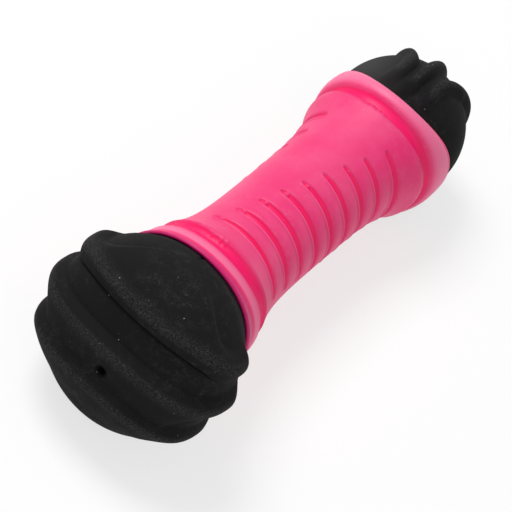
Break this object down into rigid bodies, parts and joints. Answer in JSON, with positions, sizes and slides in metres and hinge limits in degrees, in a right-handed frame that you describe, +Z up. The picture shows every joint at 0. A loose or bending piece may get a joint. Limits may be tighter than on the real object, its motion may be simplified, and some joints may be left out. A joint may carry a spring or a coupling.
{
  "type": "dog chew toy",
  "caption": "Waisted pink rubber chew stick with ringed grip grooves, a black ribbed rubber bulb plugged into each end and a squeaker inside behind a small vent hole.",
  "frame": {"origin": "on the floor, under the middle of the toy as it lies", "axes": "+X along the toy from the bulb with the vent hole to the bulb with the fins, +Y along the ribs of the vented bulb, +Z up"},
  "size_m": [0.1798, 0.0616, 0.0563],
  "materials": {
    "pink_rubber": "satin moulded rubber, paler where scuffed and deeper in the grooves",
    "black_rubber": "matte moulded rubber with grey speckle and fine scuffs",
    "white_plastic": "plain moulded plastic",
    "reed_film": "smooth clear-grey film"
  },
  "bodies": {
    "root": {"grip_sleeve": "pink_rubber", "roll_bulb": "black_rubber", "fin_bulb": "black_rubber", "squeaker_body": "white_plastic", "squeaker_reed": "reed_film", "squeaker_cap": "white_plastic"}
  },
  "joints": []
}
